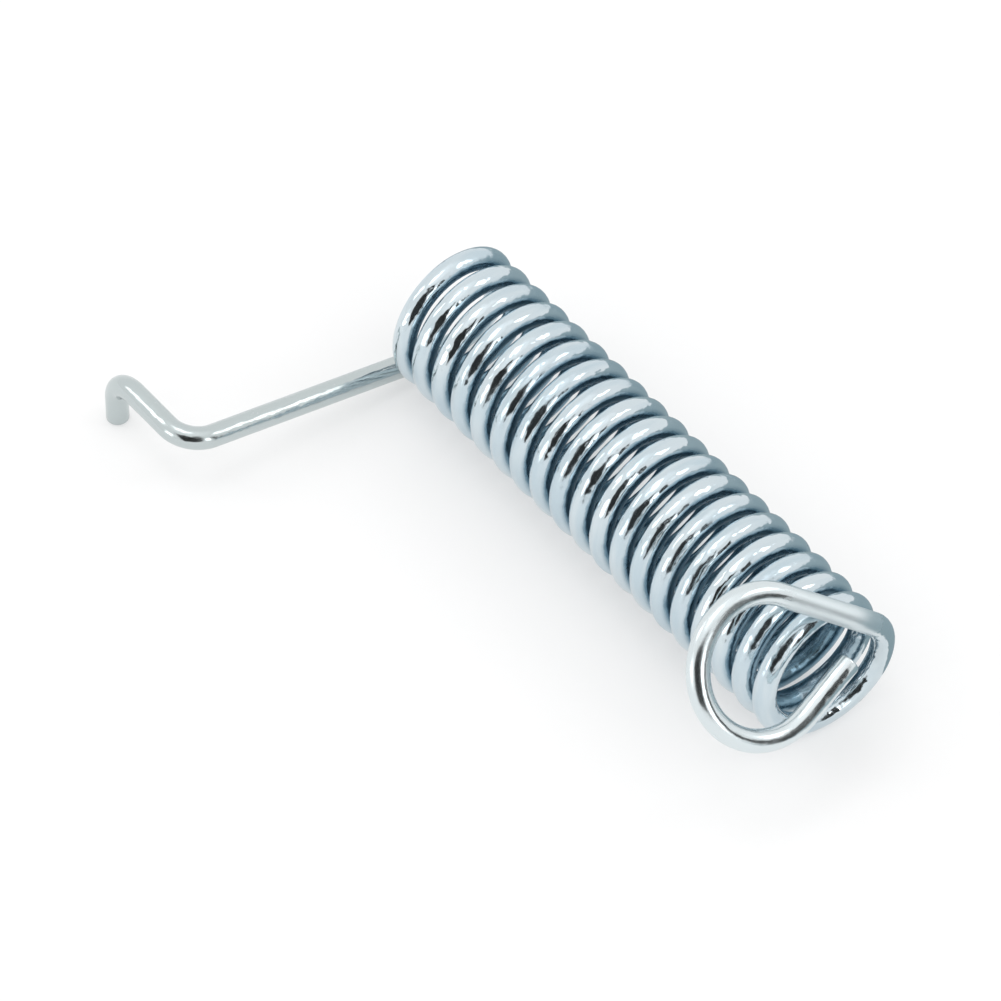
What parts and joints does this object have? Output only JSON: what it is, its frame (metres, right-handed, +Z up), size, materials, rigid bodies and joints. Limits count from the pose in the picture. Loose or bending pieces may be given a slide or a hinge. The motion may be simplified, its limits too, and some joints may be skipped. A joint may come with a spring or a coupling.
{
  "type": "extension spring",
  "caption": "Wound wire extension spring with an open hook across one end and a bent straight leg at the other.",
  "frame": {"origin": "centre of the end face of the leg's bent-down tip, on the ground that the spring lies on", "axes": "+X along the coil's axis from the leg towards the hook, +Z up from the ground, +Y from the tip across to the coil"},
  "size_m": [0.103, 0.0503, 0.0292],
  "materials": {
    "zinc_wire": "bright zinc plated spring wire with a faint blue tint"
  },
  "bodies": {
    "root": {"spring": "zinc_wire"}
  },
  "joints": []
}
